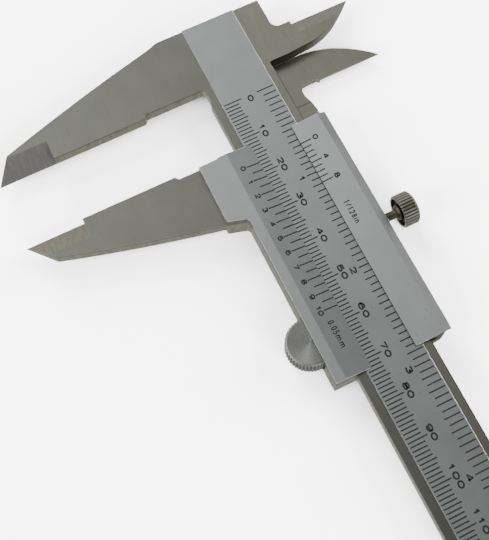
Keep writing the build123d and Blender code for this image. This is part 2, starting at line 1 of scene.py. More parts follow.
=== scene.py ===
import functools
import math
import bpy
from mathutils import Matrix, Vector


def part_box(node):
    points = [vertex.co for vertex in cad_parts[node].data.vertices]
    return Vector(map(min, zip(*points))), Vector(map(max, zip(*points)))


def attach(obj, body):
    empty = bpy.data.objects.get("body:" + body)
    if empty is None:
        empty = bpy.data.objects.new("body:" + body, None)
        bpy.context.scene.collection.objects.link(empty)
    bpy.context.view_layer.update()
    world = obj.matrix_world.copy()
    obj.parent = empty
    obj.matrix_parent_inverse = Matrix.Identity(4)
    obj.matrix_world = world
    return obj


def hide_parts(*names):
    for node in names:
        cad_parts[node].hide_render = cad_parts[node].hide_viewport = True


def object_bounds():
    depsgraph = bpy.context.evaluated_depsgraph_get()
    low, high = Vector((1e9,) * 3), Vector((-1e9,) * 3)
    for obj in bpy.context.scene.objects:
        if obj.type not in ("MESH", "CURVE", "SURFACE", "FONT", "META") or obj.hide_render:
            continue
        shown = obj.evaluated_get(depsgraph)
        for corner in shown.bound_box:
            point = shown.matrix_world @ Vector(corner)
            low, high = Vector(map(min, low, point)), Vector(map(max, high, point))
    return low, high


bl_info = {
    "name": "Vernier caliper",
    "version": (1, 0, 0),
    "blender": (4, 5, 0),
    "location": "View3D > Sidebar > Caliper",
    "description": "Scales, numerals, turned pieces and steel finishes of a vernier caliper",
    "category": "Object",
}

import bpy
import numpy as np
from bpy.props import FloatProperty, FloatVectorProperty, IntProperty, PointerProperty
from mathutils import Euler, Matrix, Vector

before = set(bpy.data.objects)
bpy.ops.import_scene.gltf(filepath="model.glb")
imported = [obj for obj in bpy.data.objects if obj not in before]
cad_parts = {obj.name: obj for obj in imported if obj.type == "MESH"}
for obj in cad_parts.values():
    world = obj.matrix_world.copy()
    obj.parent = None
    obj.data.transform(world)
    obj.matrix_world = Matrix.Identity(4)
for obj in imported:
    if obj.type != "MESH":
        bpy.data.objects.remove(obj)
CAD_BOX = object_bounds()

MM = 0.001
INCH = 25.4 * MM

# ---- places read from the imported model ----
BEAM_LOW, BEAM_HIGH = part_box("main_beam")
SLIDER_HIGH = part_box("slider_frame")[1]
GIB_LOW, GIB_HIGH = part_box("gib")
ROD_LOW, ROD_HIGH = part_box("depth_rod")
SCREW_LOW, SCREW_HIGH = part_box("clamp_screw")
ROLLER_LOW, ROLLER_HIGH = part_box("thumb_roller")
AXLE_LOW, AXLE_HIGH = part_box("roller_axle")

ZERO_X = BEAM_LOW.x + 24.0 * MM  # both scales start here
MID_Y = (ROD_LOW.y + ROD_HIGH.y) / 2  # centre line of the beam
STRIP_Z = BEAM_HIGH.z  # top of the scale strip
LEDGE_Z = STRIP_Z - 0.4 * MM
FRONT_Z = SLIDER_HIGH.z  # flat front of the slider
SLIDER_X = GIB_LOW.x - 1.0 * MM  # left end of the slider
SLIDER_END_X = GIB_HIGH.x + 1.0 * MM
VERNIER_X = SLIDER_X + 5.16 * MM  # both verniers' zero lines
BLADE_STEP_X = SLIDER_X - 5.8 * MM  # fine step at the moving inside jaw's root
BEAM_TOP_Y = MID_Y + 9.1 * MM  # the beam's upper edge

# lower lip: its bevel carries the millimetre vernier
LOWER_EDGE_Y = MID_Y - 5.55 * MM
LOWER_EDGE_Z = STRIP_Z + 0.30 * MM
BAND_Y = MID_Y - 11.8 * MM
# upper lip: it slopes up to the band along the slider's top
UPPER_EDGE_Y = MID_Y + 5.2 * MM
UPPER_EDGE_Z = STRIP_Z + 0.40 * MM
UPPER_TOP_Y = MID_Y + 12.2 * MM

# rows of marks on the beam: where the lines start, and the numerals' centre lines
MILLIMETRE_FOOT_Y = MID_Y - 6.62 * MM
MILLIMETRE_NUMERAL_Y = MID_Y - 0.87 * MM
INCH_FOOT_Y = MID_Y + 6.6 * MM
INCH_NUMERAL_Y = MID_Y + 1.45 * MM
# rows of marks on the slider
LOWER_NUMERAL_Y = MID_Y - 9.86 * MM
LOWER_LABEL_Y = MID_Y - 8.85 * MM
UPPER_NUMERAL_Y = MID_Y + 9.0 * MM
UPPER_LABEL_Y = MID_Y + 7.75 * MM
MILLIMETRE_VERNIER_STEP = 39 * MM / 20  # twenty steps cover 39 mm
INCH_VERNIER_STEP = 7 * INCH / 128  # eight steps cover 7/16 in

# colours of the outside and the inside jaw's knife facet: the steel with painted light or shade
BEAM_FACET_LIT_TONES = (0.47, 0.455, 0.44), (0.25, 0.24, 0.205)
SLIDER_FACET_LIT_TONES = (0.31, 0.29, 0.23), (0.42, 0.405, 0.335)
# painted shade in grooves and hollows
GROOVE_SHADE = (0.03, 0.026, 0.018)
STAIN_BROWN = (0.27, 0.24, 0.17)
# lighter colour of edges: partly wear, partly painted highlight
WORN_EDGE_AND_HIGHLIGHT = (0.62, 0.63, 0.60)


def strip_height(y):
    """The scale strip is flat: z is the same for every y."""
    return np.full_like(y, STRIP_Z)


def lower_bevel_height(y):
    """z grows in proportion to the distance of y below the lower lip's edge."""
    return LOWER_EDGE_Z + (LOWER_EDGE_Y - y) * (
        (FRONT_Z - LOWER_EDGE_Z) / (LOWER_EDGE_Y - BAND_Y)
    )


def upper_lip_height(y):
    """z grows in proportion to the distance of y above the upper lip's edge."""
    return UPPER_EDGE_Z + (y - UPPER_EDGE_Y) * (
        (FRONT_Z - UPPER_EDGE_Z) / (UPPER_TOP_Y - UPPER_EDGE_Y)
    )


# ---------------------------------------------------------------- settings
class CaliperMarks(bpy.types.PropertyGroup):
    """Sizes of the engraved and filled marks."""

    line_width: FloatProperty(
        name="Line width",
        description="Width of every graduation line",
        default=0.30 * MM,
        min=0.05 * MM,
        unit="LENGTH",
    )
    ink_rise: FloatProperty(
        name="Filling height",
        description="How far the filling stands above the metal",
        default=0.012 * MM,
        unit="LENGTH",
    )
    ink_depth: FloatProperty(
        name="Engraving depth",
        description="How far the filling goes into the metal",
        default=0.05 * MM,
        unit="LENGTH",
    )
    scale_numeral: FloatProperty(
        name="Scale numerals",
        description="Height of the numerals on the beam",
        default=1.5 * MM,
        unit="LENGTH",
    )
    vernier_numeral: FloatProperty(
        name="Vernier numerals",
        description="Height of the numerals on the slider",
        default=1.32 * MM,
        unit="LENGTH",
    )
    last_millimetre: IntProperty(
        name="Last millimetre",
        description="Last graduation of the millimetre scale",
        default=200,
        min=10,
    )
    last_inch: IntProperty(
        name="Last inch",
        description="Last graduation of the inch scale",
        default=8,
        min=1,
    )


class CaliperTurned(bpy.types.PropertyGroup):
    """Sizes of the clamp screw and the thumb roller."""

    screw_knurls: IntProperty(
        name="Screw knurls",
        description="Grooves round the clamp screw's head",
        default=32,
        min=8,
    )
    screw_groove: FloatProperty(
        name="Screw groove depth",
        description="Depth of those grooves",
        default=0.30 * MM,
        unit="LENGTH",
    )
    thread_pitch: FloatProperty(
        name="Thread pitch",
        description="Pitch of the clamp screw's thread",
        default=0.45 * MM,
        unit="LENGTH",
    )
    thread_depth: FloatProperty(
        name="Thread depth",
        description="Depth of the clamp screw's thread",
        default=0.20 * MM,
        unit="LENGTH",
    )
    roller_knurls: IntProperty(
        name="Roller knurls",
        description="Grooves round the thumb roller's rim",
        default=44,
        min=12,
    )
    roller_groove: FloatProperty(
        name="Roller groove depth",
        description="Depth of those grooves",
        default=0.30 * MM,
        unit="LENGTH",
    )


def finish_colour(name, description, default):
    """A colour property of a finish."""
    return FloatVectorProperty(
        name=name,
        description=description,
        default=default,
        size=3,
        min=0.0,
        max=1.0,
        subtype="COLOR",
    )


class CaliperFinishes(bpy.types.PropertyGroup):
    """Colours of the metals and of the filling."""

    scale_satin: finish_colour(
        "Scale satin", "Satin chrome of the graduated faces", (0.60, 0.635, 0.625)
    )
    bright_satin: finish_colour(
        "Bright satin", "Satin chrome of the slider's other front faces", (0.66, 0.69, 0.68)
    )
    ground_steel: finish_colour(
        "Ground steel", "Ground faces of the jaws and of the beam's ledges", (0.315, 0.312, 0.278)
    )
    side_steel: finish_colour(
        "Side faces", "Milled side faces of beam and slider", (0.49, 0.465, 0.365)
    )
    inside_steel: finish_colour(
        "Inside jaw steel", "Ground faces of the inside jaws", (0.42, 0.405, 0.335)
    )
    filling: finish_colour("Filling", "Dark filling of lines and numerals", (0.005, 0.0055, 0.005))
    screw_steel: finish_colour("Screw steel", "Darkened steel of the screws", (0.27, 0.255, 0.215))
    roller_steel: finish_colour("Roller steel", "Turned steel of the roller", (0.44, 0.445, 0.415))
    bronze: finish_colour("Bronze", "Bronze of gib and shoe", (0.66, 0.46, 0.23))
    rod_steel: finish_colour("Rod steel", "Drawn steel of the depth rod", (0.50, 0.50, 0.46))


class CaliperStage(bpy.types.PropertyGroup):
    """Floor, light and camera."""

    floor_colour: finish_colour("Floor", "Colour of the floor", (0.93, 0.93, 0.92))
    light_above: FloatVectorProperty(
        name="Room light above",
        description="Strength of the room's upper light on the right and on the left",
        default=(0.10, 0.72),
        size=2,
        min=0.0,
    )
    light_behind: FloatProperty(
        name="Room light behind",
        description="Strength added to the room's light on its far right",
        default=0.6,
        min=0.0,
    )
    light_below: FloatVectorProperty(
        name="Room light below",
        description="Strength of the room's lower light on the right and on the left",
        default=(0.42, 0.72),
        size=2,
        min=0.0,
    )
    edge_power: FloatProperty(
        name="Edge light",
        description="Power of the low light that draws the upper edges",
        default=2.5,
        unit="POWER",
    )
    side_power: FloatProperty(
        name="Side lights",
        description="Power of each of the low side lights",
        default=60.0,
        unit="POWER",
    )
    box_power: FloatProperty(
        name="Soft box",
        description="Power of the large soft box over the head",
        default=0.35,
        unit="POWER",
    )
    lens: FloatProperty(
        name="Lens",
        description="Focal length of the camera on a 36 mm sensor, in millimetres",
        default=61.3,
        min=10.0,
    )


# ---------------------------------------------------------------- mesh tools
def closed_piece(name, points, faces, body, slot, material, uv=None, groove=None):
    """A mesh object from an array of points and faces, riding on a body. groove holds how much
    painted shade each point gets, from 0 to 1, mostly by how deep in a groove it lies."""
    mesh = bpy.data.meshes.new(name)
    mesh.from_pydata(np.asarray(points).tolist(), [], faces)
    if uv is not None:
        layer = mesh.uv_layers.new(name="UVMap")
        layer.data.foreach_set("uv", np.asarray(uv, np.float32).ravel())
    if groove is not None:
        layer = mesh.attributes.new("groove", "FLOAT", "POINT")
        layer.data.foreach_set("value", np.asarray(groove, np.float32))
    mesh.materials.append(material)
    mesh.validate()
    mesh.update()
    piece = bpy.data.objects.new(name, mesh)
    bpy.context.scene.collection.objects.link(piece)
    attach(piece, body)
    return piece


def bars(x, low, high, marks, surface):
    """Upright closed bars, one per x, that reach from y = low to y = high. Each has the eight
    corners of a box: x plus or minus half the line width, and z at the surface's own height
    plus the filling's rise or minus its depth."""
    sign_x = np.array([-1, 1, 1, -1, -1, 1, 1, -1]) / 2
    far = np.array([0, 0, 1, 1, 0, 0, 1, 1], bool)
    top = np.array([0, 0, 0, 0, 1, 1, 1, 1], bool)
    x, low, high = (np.broadcast_to(v, np.shape(x)).astype(float) for v in (x, low, high))
    points = np.empty((len(x), 8, 3))
    points[:, :, 0] = x[:, None] + sign_x * marks.line_width
    points[:, :, 1] = np.where(far, high[:, None], low[:, None])
    points[:, :, 2] = surface(points[:, :, 1]) + np.where(top, marks.ink_rise, -marks.ink_depth)
    sides = np.array(
        [(0, 3, 2, 1), (4, 5, 6, 7), (0, 1, 5, 4), (1, 2, 6, 5), (2, 3, 7, 6), (3, 0, 4, 7)]
    )
    faces = (sides[None] + 8 * np.arange(len(x))[:, None, None]).reshape(-1, 4)
    return points.reshape(-1, 3), faces.tolist()


def arc(x, y, reach_x, reach_y, start, end, count=16):
    """Points of an elliptic arc: the centre plus the reaches times cosine and sine of an angle
    that goes from start to end, in degrees."""
    angle = np.radians(np.linspace(start, end, count))
    return np.stack([x + reach_x * np.cos(angle), y + reach_y * np.sin(angle)], -1)


def line(*points):
    """A stroke through plain points."""
    return np.array(points, float)


# each glyph's strokes, as centre lines in a box from (0, 0) to (1, 1)
SIX = [
    arc(0.5, 0.31, 0.5, 0.31, 0, 360, 25),
    np.concatenate([arc(0.52, 0.5, 0.52, 0.5, 38, 180), line((0, 0.31))]),
]
GLYPHS = {
    "0": [arc(0.5, 0.5, 0.5, 0.5, 0, 360, 29)],
    "1": [line((0.22, 0.76), (0.40, 0.83), (0.56, 1.0), (0.60, 1.0), (0.60, 0))],
    "2": [np.concatenate([arc(0.5, 0.71, 0.48, 0.29, 170, -38), line((0.02, 0), (1, 0))])],
    "3": [
        arc(0.48, 0.755, 0.44, 0.245, 160, -90),
        arc(0.48, 0.265, 0.52, 0.265, 90, -160),
    ],
    "4": [line((0.74, 0), (0.74, 1)), line((0.74, 1), (0, 0.27), (1, 0.27))],
    "5": [
        np.concatenate(
            [line((0.92, 1), (0.16, 1), (0.06, 0.47)), arc(0.48, 0.31, 0.52, 0.31, 128, -158)]
        )
    ],
    "6": SIX,
    "7": [line((0, 1), (1, 1), (0.36, 0))],
    "8": [
        arc(0.5, 0.755, 0.42, 0.245, 0, 360, 25),
        arc(0.5, 0.265, 0.5, 0.265, 0, 360, 25),
    ],
    "9": [1 - stroke for stroke in SIX],
    "m": [
        line((0, 0), (0, 0.72)),
        np.concatenate([line((0, 0.44)), arc(0.25, 0.44, 0.25, 0.26, 170, 0, 9), line((0.5, 0))]),
        np.concatenate([line((0.5, 0.44)), arc(0.75, 0.44, 0.25, 0.26, 170, 0, 9), line((1, 0))]),
    ],
    "n": [
        line((0, 0), (0, 0.72)),
        np.concatenate([line((0, 0.40)), arc(0.5, 0.40, 0.5, 0.30, 165, 0, 11), line((1, 0))]),
    ],
    "i": [line((0.5, 0), (0.5, 0.70)), line((0.5, 0.90), (0.5, 1.03))],
    "/": [line((0, 0), (1, 1.05))],
    ".": [line((0.5, -0.04), (0.5, 0.12))],
}
ROOM = {"m": 1.7, "i": 0.5, ".": 0.5, "/": 0.9}  # a glyph's room along the line, in digits


def ribbon(path, width):
    """A closed flat bar along a centre line. Each point goes half the width to both sides, along
    the mean of the normals of its two stretches, lengthened so that the bar keeps its width. The
    first layer of points is the bottom and the second the top, which has z = 1."""
    ring = np.allclose(path[0], path[-1])
    if ring:
        path = path[:-1]
        way = np.roll(path, -1, 0) - path
        way /= np.linalg.norm(way, axis=1)[:, None]
        before, after = np.roll(way, 1, 0), way
    else:
        way = np.diff(path, axis=0)
        way /= np.linalg.norm(way, axis=1)[:, None]
        before, after = np.vstack([way[:1], way]), np.vstack([way, way[-1:]])
    mean = before + after
    mean /= np.linalg.norm(mean, axis=1)[:, None]
    stretch = 1 / np.maximum((mean * after).sum(1), 0.55)
    side = np.stack([-mean[:, 1], mean[:, 0]], -1) * (stretch * width / 2)[:, None]
    count = len(path)
    flat = np.concatenate([path + side, path - side])
    points = np.concatenate(
        [np.c_[flat, np.zeros(2 * count)], np.c_[flat, np.ones(2 * count)]]
    )
    i = np.arange(count if ring else count - 1)
    j = (i + 1) % count
    left, right, up = 0, count, 2 * count
    faces = np.concatenate(
        [
            np.stack([left + i, left + j, right + j, right + i], -1),
            np.stack([right + i, right + j, left + j, left + i], -1) + up,
            np.stack([left + j, left + i, left + i + up, left + j + up], -1),
            np.stack([right + i, right + j, right + j + up, right + i + up], -1),
        ]
    ).tolist()
    if not ring:
        last = count - 1
        faces += [[left, right, right + up, left + up]]
        faces += [[right + last, left + last, left + last + up, right + last + up]]
    return points, faces


def lettering(items, height, width, stroke, pitch, marks, surface):
    """Words laid on a surface. Each item is (text, x, y) for the word's centre. A glyph's strokes
    are scaled to the height and width and set at the pitch. Each point's z is the surface's
    height there, plus the filling's rise or minus its depth."""
    shapes = []
    for text, x, y in items:
        rooms = [ROOM.get(glyph, 1.0) for glyph in text]
        start = x - sum(rooms) * pitch / 2
        for glyph, room in zip(text, rooms):
            wide = width * (room if glyph == "m" else 1.0) - stroke
            for path in GLYPHS[glyph]:
                laid = np.empty_like(path)
                laid[:, 1] = (path[:, 1] - 0.5) * (height - stroke)
                laid[:, 0] = (path[:, 0] - 0.5) * wide
                points, faces = ribbon(laid, stroke)
                points[:, 0] += start + room * pitch / 2
                points[:, 1] += y
                rise = np.where(points[:, 2] > 0.5, marks.ink_rise, -marks.ink_depth)
                points[:, 2] = surface(points[:, 1]) + rise
                shapes.append((points, faces))
            start += room * pitch
    return join(*shapes)


def join(*shapes):
    """Several (points, faces) pairs as one."""
    points, faces, count = [], [], 0
    for part, polygons in shapes:
        points.append(part)
        faces += [[i + count for i in face] for face in polygons]
        count += len(part)
    return np.concatenate(points), faces


def profile_points(corners, counts):
    """Points along a turned outline: each stretch between two corners is divided evenly."""
    corners = np.asarray(corners, float)
    parts = [
        a + (b - a) * np.arange(n)[:, None] / n
        for a, b, n in zip(corners[:-1], corners[1:], counts)
    ]
    return np.concatenate(parts + [corners[-1:]])


def turned(profile, cut, segments):
    """A closed surface of revolution. Its points are radius times the cosine and the sine of an
    angle, at the outline's height, and cut, an array of one row per ring, is taken off the
    radius. The outline starts and ends on the axis, and runs so that the outside is on its
    right. Returns points as (across, up, along), faces and the UV of each face corner."""
    radius, height = profile[1:-1, 0], profile[1:-1, 1]
    angle = np.arange(segments) * (2 * math.pi / segments)
    reach = radius[:, None] - cut
    rings = np.stack(
        [reach * np.cos(angle), reach * np.sin(angle), np.repeat(height[:, None], segments, 1)], -1
    )
    points = np.concatenate(
        [rings.reshape(-1, 3), [[0, 0, profile[0, 1]], [0, 0, profile[-1, 1]]]]
    )
    count = len(radius)
    ring, step = np.meshgrid(np.arange(count - 1), np.arange(segments), indexing="ij")
    after = (step + 1) % segments
    low, high = ring * segments, (ring + 1) * segments
    quads = np.stack([low + step, low + after, high + after, high + step], -1).reshape(-1, 4)
    first, last = count * segments, count * segments + 1
    run = np.concatenate([[0], np.cumsum(np.linalg.norm(np.diff(profile, axis=0), axis=1))])
    around = np.stack([step, step + 1, step + 1, step], -1) / segments
    along = run[1:][np.stack([ring, ring, ring + 1, ring + 1], -1)]
    step = np.arange(segments)
    after = (step + 1) % segments
    start = np.stack([np.full(segments, first), after, step], -1)
    tail = (count - 1) * segments
    end = np.stack([np.full(segments, last), tail + step, tail + after], -1)

    def fan(sides, rows):
        """UV of the triangles round a pole: the pole lies above the middle of each far side."""
        across = np.stack(sides, -1) / segments
        return np.stack([across, np.tile(run[rows], (segments, 1))], -1).reshape(-1, 2)

    uv = [
        np.stack([around, along], -1).reshape(-1, 2),
        fan([step + 0.5, step + 1, step], [0, 1, 1]),
        fan([step + 0.5, step, step + 1], [-1, -2, -2]),
    ]
    faces = quads.tolist() + start.tolist() + end.tolist()
    return points, faces, np.concatenate(uv)


# ---------------------------------------------------------------- finishes
class Finish:
    """A metal finish, built node by node on Object coordinates, which are metres here."""

    def __init__(self, name, roughness):
        self.material = bpy.data.materials.new(name)
        self.material.use_nodes = True
        self.nodes = self.material.node_tree.nodes
        self.shader = next(n for n in self.nodes if n.type == "BSDF_PRINCIPLED")
        self.shader.inputs["Metallic"].default_value = 1.0
        self.shader.inputs["Roughness"].default_value = roughness
        self.place = self.nodes.new("ShaderNodeTexCoord").outputs["Object"]
        self.face = self.nodes.new("ShaderNodeNewGeometry").outputs["Normal"]

    def link(self, value, socket):
        """Joins an output to a socket, or sets the socket to a plain value."""
        if isinstance(value, bpy.types.NodeSocket):
            self.material.node_tree.links.new(value, socket)
        else:
            socket.default_value = value

    def calc(self, operation, *values):
        """A Math node's result."""
        node = self.nodes.new("ShaderNodeMath")
        node.operation = operation
        for value, socket in zip(values, node.inputs):
            self.link(value, socket)
        return node.outputs[0]

    def vector(self, operation, *values):
        """A Vector Math node's outputs."""
        node = self.nodes.new("ShaderNodeVectorMath")
        node.operation = operation
        for value, socket in zip(values, node.inputs):
            self.link(value, socket)
        return node.outputs

    def axis(self, vector, index):
        """One component of a vector."""
        node = self.nodes.new("ShaderNodeSeparateXYZ")
        self.link(vector, node.inputs[0])
        return node.outputs[index]

    def both(self, *values):
        """Several factors multiplied."""
        return functools.reduce(lambda a, b: self.calc("MULTIPLY", a, b), values)

    def most(self, *values):
        """The largest of several factors."""
        return functools.reduce(lambda a, b: self.calc("MAXIMUM", a, b), values)

    def step(self, value, low, high, to_low=0.0, to_high=1.0):
        """A smooth step from to_low to to_high as value goes from low to high."""
        node = self.nodes.new("ShaderNodeMapRange")
        node.interpolation_type = "SMOOTHSTEP"
        for item, socket in zip((value, low, high, to_low, to_high), node.inputs):
            self.link(item, socket)
        return node.outputs[0]

    def noise(self, scale, detail=2.0, place=None):
        """Noise whose three scales, per metre, stretch it into grain or marks."""
        mapping = self.nodes.new("ShaderNodeMapping")
        self.link(place or self.place, mapping.inputs["Vector"])
        mapping.inputs["Scale"].default_value = scale
        node = self.nodes.new("ShaderNodeTexNoise")
        self.link(mapping.outputs[0], node.inputs["Vector"])
        node.inputs["Scale"].default_value = 1.0
        node.inputs["Detail"].default_value = detail
        return node.outputs[0]

    def blend(self, factor, first, second, mode="MIX"):
        """Two colours mixed by a factor."""
        node = self.nodes.new("ShaderNodeMix")
        node.data_type = "RGBA"
        node.blend_type = mode
        for value, socket in zip(
            (factor, first, second), (node.inputs[0], node.inputs[6], node.inputs[7])
        ):
            if isinstance(value, (tuple, list)) or hasattr(value, "r"):
                value = (*tuple(value)[:3], 1.0)
            self.link(value, socket)
        return node.outputs[2]

    def shade(self, colour, amount, pattern):
        """A colour made darker or lighter by a pattern round one half."""
        level = self.calc("MULTIPLY_ADD", pattern, 2 * amount, 1 - amount)
        grey = self.nodes.new("ShaderNodeCombineXYZ")
        for socket in grey.inputs:
            self.link(level, socket)
        return self.blend(1.0, colour, grey.outputs[0], "MULTIPLY")

    def edges(self, radius, quiet=0.0):
        """How far a face's rounded normal leans away from its own, which is 1 along edges that get
        painted wear and highlight, and that rounded normal. Where quiet is 1, there is no wear, no
        painted highlight and no rounding."""
        bevel = self.nodes.new("ShaderNodeBevel")
        bevel.samples = 6
        bevel.inputs["Radius"].default_value = radius
        mixer = self.nodes.new("ShaderNodeMix")
        mixer.data_type = "VECTOR"
        self.link(quiet, mixer.inputs["Factor"])
        self.link(bevel.outputs[0], mixer.inputs[4])
        self.link(self.face, mixer.inputs[5])
        agreement = self.vector("DOT_PRODUCT", mixer.outputs[1], self.face)["Value"]
        return self.step(agreement, 0.995, 0.86), mixer.outputs[1]

    def grooves(self, colour, share):
        """Paints shade into a piece's grooves and hollows, where its groove attribute is 1."""
        if not share:
            return colour
        groove = self.nodes.new("ShaderNodeAttribute")
        groove.attribute_name = "groove"
        factor = self.calc("MULTIPLY", groove.outputs["Fac"], share)
        return self.blend(factor, colour, GROOVE_SHADE)

    def bump(self, height, distance, strength, normal=None):
        """A bump from a pattern, on top of another normal if one is given."""
        node = self.nodes.new("ShaderNodeBump")
        self.link(height, node.inputs["Height"])
        node.inputs["Distance"].default_value = distance
        node.inputs["Strength"].default_value = strength
        if normal is not None:
            self.link(normal, node.inputs["Normal"])
        return node.outputs[0]

    def use(self, colour, roughness, normal, metallic=None):
        """Joins colour, roughness, normal and metallic to the shader and returns the material."""
        if metallic is not None:
            self.link(metallic, self.shader.inputs["Metallic"])
        self.link(colour, self.shader.inputs["Base Color"])
        self.link(roughness, self.shader.inputs["Roughness"])
        self.link(normal, self.shader.inputs["Normal"])
        return self.material


def caliper_steel(name, colours, facet_lit_tones, graduated, quiet, dark):
    """Steel of the beam and of the slider. Above the ledges it has a satin chrome front, which is
    greyer where graduated(finish) is 1: on the beam's graduated faces as their finish, on the
    slider's lower bevel partly as finish and partly as painted shade, and on its sloping top band
    as painted shade. Below that, flat faces are ground lengthwise, knife facets are ground across,
    and side faces are milled. The facet tones hold the outside and the inside facet's colour: the
    steel with painted light or shade. quiet(finish) is 1 along edges that get no painted wear or
    highlight, and dark(finish) is how strongly painted shade darkens a line or band."""
    finish = Finish(name, 0.35)
    upright = finish.calc("ABSOLUTE", finish.axis(finish.face, 2))
    height = finish.axis(finish.place, 2)
    front = finish.both(
        finish.step(height, LEDGE_Z + 0.10 * MM, LEDGE_Z + 0.16 * MM),
        finish.step(upright, 0.55, 0.75),
    )
    facet = finish.both(
        finish.step(upright, 0.30, 0.40),
        finish.step(upright, 0.97, 0.95),
        finish.step(height, LEDGE_Z + 0.1 * MM, LEDGE_Z),
    )
    side = finish.step(upright, 0.5, 0.3)
    # patterns
    lengthwise = finish.noise((110, 5200, 5200), 5.0)
    crosswise = finish.noise((300, 2300, 300), 4.0)
    pearl = finish.noise((7000, 7000, 7000), 2.0)
    cloud = finish.noise((140, 140, 140), 3.0)
    stain = finish.noise((420, 420, 420), 4.0)
    milled = finish.noise((1500, 1500, 300), 4.0)
    speck = finish.step(finish.noise((900, 900, 900), 2.0), 0.70, 0.78)
    # colours
    # greyer satin: the graduated faces' finish, with painted shade on the slider's sloping faces
    satin = finish.blend(graduated(finish), colours.bright_satin, colours.scale_satin)
    satin = finish.shade(satin, 0.06, pearl)
    inside = finish.step(finish.axis(finish.place, 1), MID_Y, MID_Y + 10 * MM)
    # each knife facet's colour is the steel with painted light or shade
    facet_lit_tone = finish.blend(inside, *facet_lit_tones)
    warm = finish.blend(inside, colours.ground_steel[:], colours.inside_steel[:])
    ground = finish.shade(warm, 0.15, lengthwise)
    ground = finish.blend(facet, ground, finish.shade(facet_lit_tone, 0.38, crosswise))
    edge_side = finish.shade(colours.side_steel[:], 0.45, milled)
    # the upper part of each side face is painted darker, as shade
    upper_side_shade = finish.step(height, LEDGE_Z - 0.75 * MM, LEDGE_Z - 0.55 * MM, 0.0, 0.55)
    edge_side = finish.blend(upper_side_shade, edge_side, (0.16, 0.15, 0.12))
    ground = finish.blend(side, ground, edge_side)
    brown = finish.step(stain, 0.50, 0.78, 0.0, 0.16)
    ground = finish.blend(brown, ground, STAIN_BROWN)
    colour = finish.blend(front, ground, satin)
    colour = finish.shade(colour, 0.12, cloud)
    colour = finish.blend(finish.calc("MULTIPLY", speck, 0.25), colour, (0.20, 0.19, 0.16))
    # edges painted lighter: partly wear, partly painted highlight
    worn, rounded = finish.edges(0.14 * MM, quiet(finish))
    worn = finish.calc("MULTIPLY", worn, finish.calc("MULTIPLY_ADD", front, 0.6, 0.4))
    colour = finish.blend(finish.calc("MULTIPLY", worn, 0.8), colour, WORN_EDGE_AND_HIGHLIGHT)
    # painted shade on the lines and bands that dark(finish) picks out
    colour = finish.blend(dark(finish), colour, (0.05, 0.048, 0.04))
    # roughness
    rough = finish.calc("MULTIPLY_ADD", lengthwise, 0.16, 0.24)
    rough = finish.calc("MULTIPLY_ADD", side, 0.06, rough)
    satin_rough = finish.calc("MULTIPLY_ADD", cloud, 0.08, 0.34)
    mixer = finish.nodes.new("ShaderNodeMix")
    for value, socket in zip((front, rough, satin_rough), (mixer.inputs[0], *mixer.inputs[2:4])):
        finish.link(value, socket)
    rough = finish.calc("MULTIPLY_ADD", worn, -0.10, mixer.outputs[0])
    # relief
    grain = finish.calc("MULTIPLY", lengthwise, finish.calc("SUBTRACT", 1.0, front))
    relief = finish.calc("ADD", grain, finish.calc("MULTIPLY", pearl, 0.25))
    relief = finish.calc("MULTIPLY_ADD", crosswise, facet, relief)
    normal = finish.bump(relief, 0.006 * MM, 0.6, rounded)
    # worn edges, which also carry a painted highlight, and ground facets are rough enough to look
    # lit from all sides
    scatter = finish.calc("MAXIMUM", worn, finish.calc("MULTIPLY", facet, 0.035))
    metallic = finish.calc("MULTIPLY_ADD", scatter, -0.75, 1.0)
    return finish.use(colour, rough, normal, metallic)


def simple_metal(
    name, colour, roughness, scale, amount, edge=0.10 * MM, light=(0.75, 0.74, 0.70), hollow=0.0
):
    """A small piece's metal: noise with three scales for its marks, and edges painted lighter, as
    wear and painted highlight. Its grooves, by the mesh's own groove attribute, get painted shade
    by the share hollow."""
    finish = Finish(name, roughness)
    marks = finish.noise(scale, 3.0)
    cloud = finish.noise((400, 400, 400), 2.0)
    shaded = finish.shade(finish.shade(tuple(colour), amount, marks), amount, cloud)
    worn, rounded = finish.edges(edge)
    # edges painted lighter: partly wear, partly painted highlight
    shaded = finish.blend(finish.calc("MULTIPLY", worn, 0.5), shaded, light)
    # painted shade in grooves and hollows
    shaded = finish.grooves(shaded, hollow)
    rough = finish.calc("MULTIPLY_ADD", marks, 0.2, roughness - 0.1)
    normal = finish.bump(marks, 0.006 * MM, 0.6, rounded)
    return finish.use(shaded, rough, normal)


def dress(node, material):
    """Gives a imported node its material."""
    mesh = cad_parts[node].data
    mesh.materials.clear()
    mesh.materials.append(material)


def settings(context):
    """The caliper's four groups of settings."""
    scene = context.scene
    return (
        scene.caliper_marks,
        scene.caliper_turned,
        scene.caliper_finishes,
        scene.caliper_stage,
    )


def filling_material(colours):
    """Dull dark filling, which is one material for all marks."""
    found = bpy.data.materials.get("mark_filling")
    if found:
        return found
    finish = Finish("mark_filling", 0.6)
    finish.shader.inputs["Metallic"].default_value = 0.0
    finish.shader.inputs["Specular IOR Level"].default_value = 0.15
    grain = finish.noise((6000, 6000, 6000), 2.0)
    colour = finish.shade(tuple(colours.filling), 0.35, grain)
    rough = finish.calc("MULTIPLY_ADD", grain, 0.3, 0.45)
    return finish.use(colour, rough, finish.bump(grain, 0.004 * MM, 0.5))


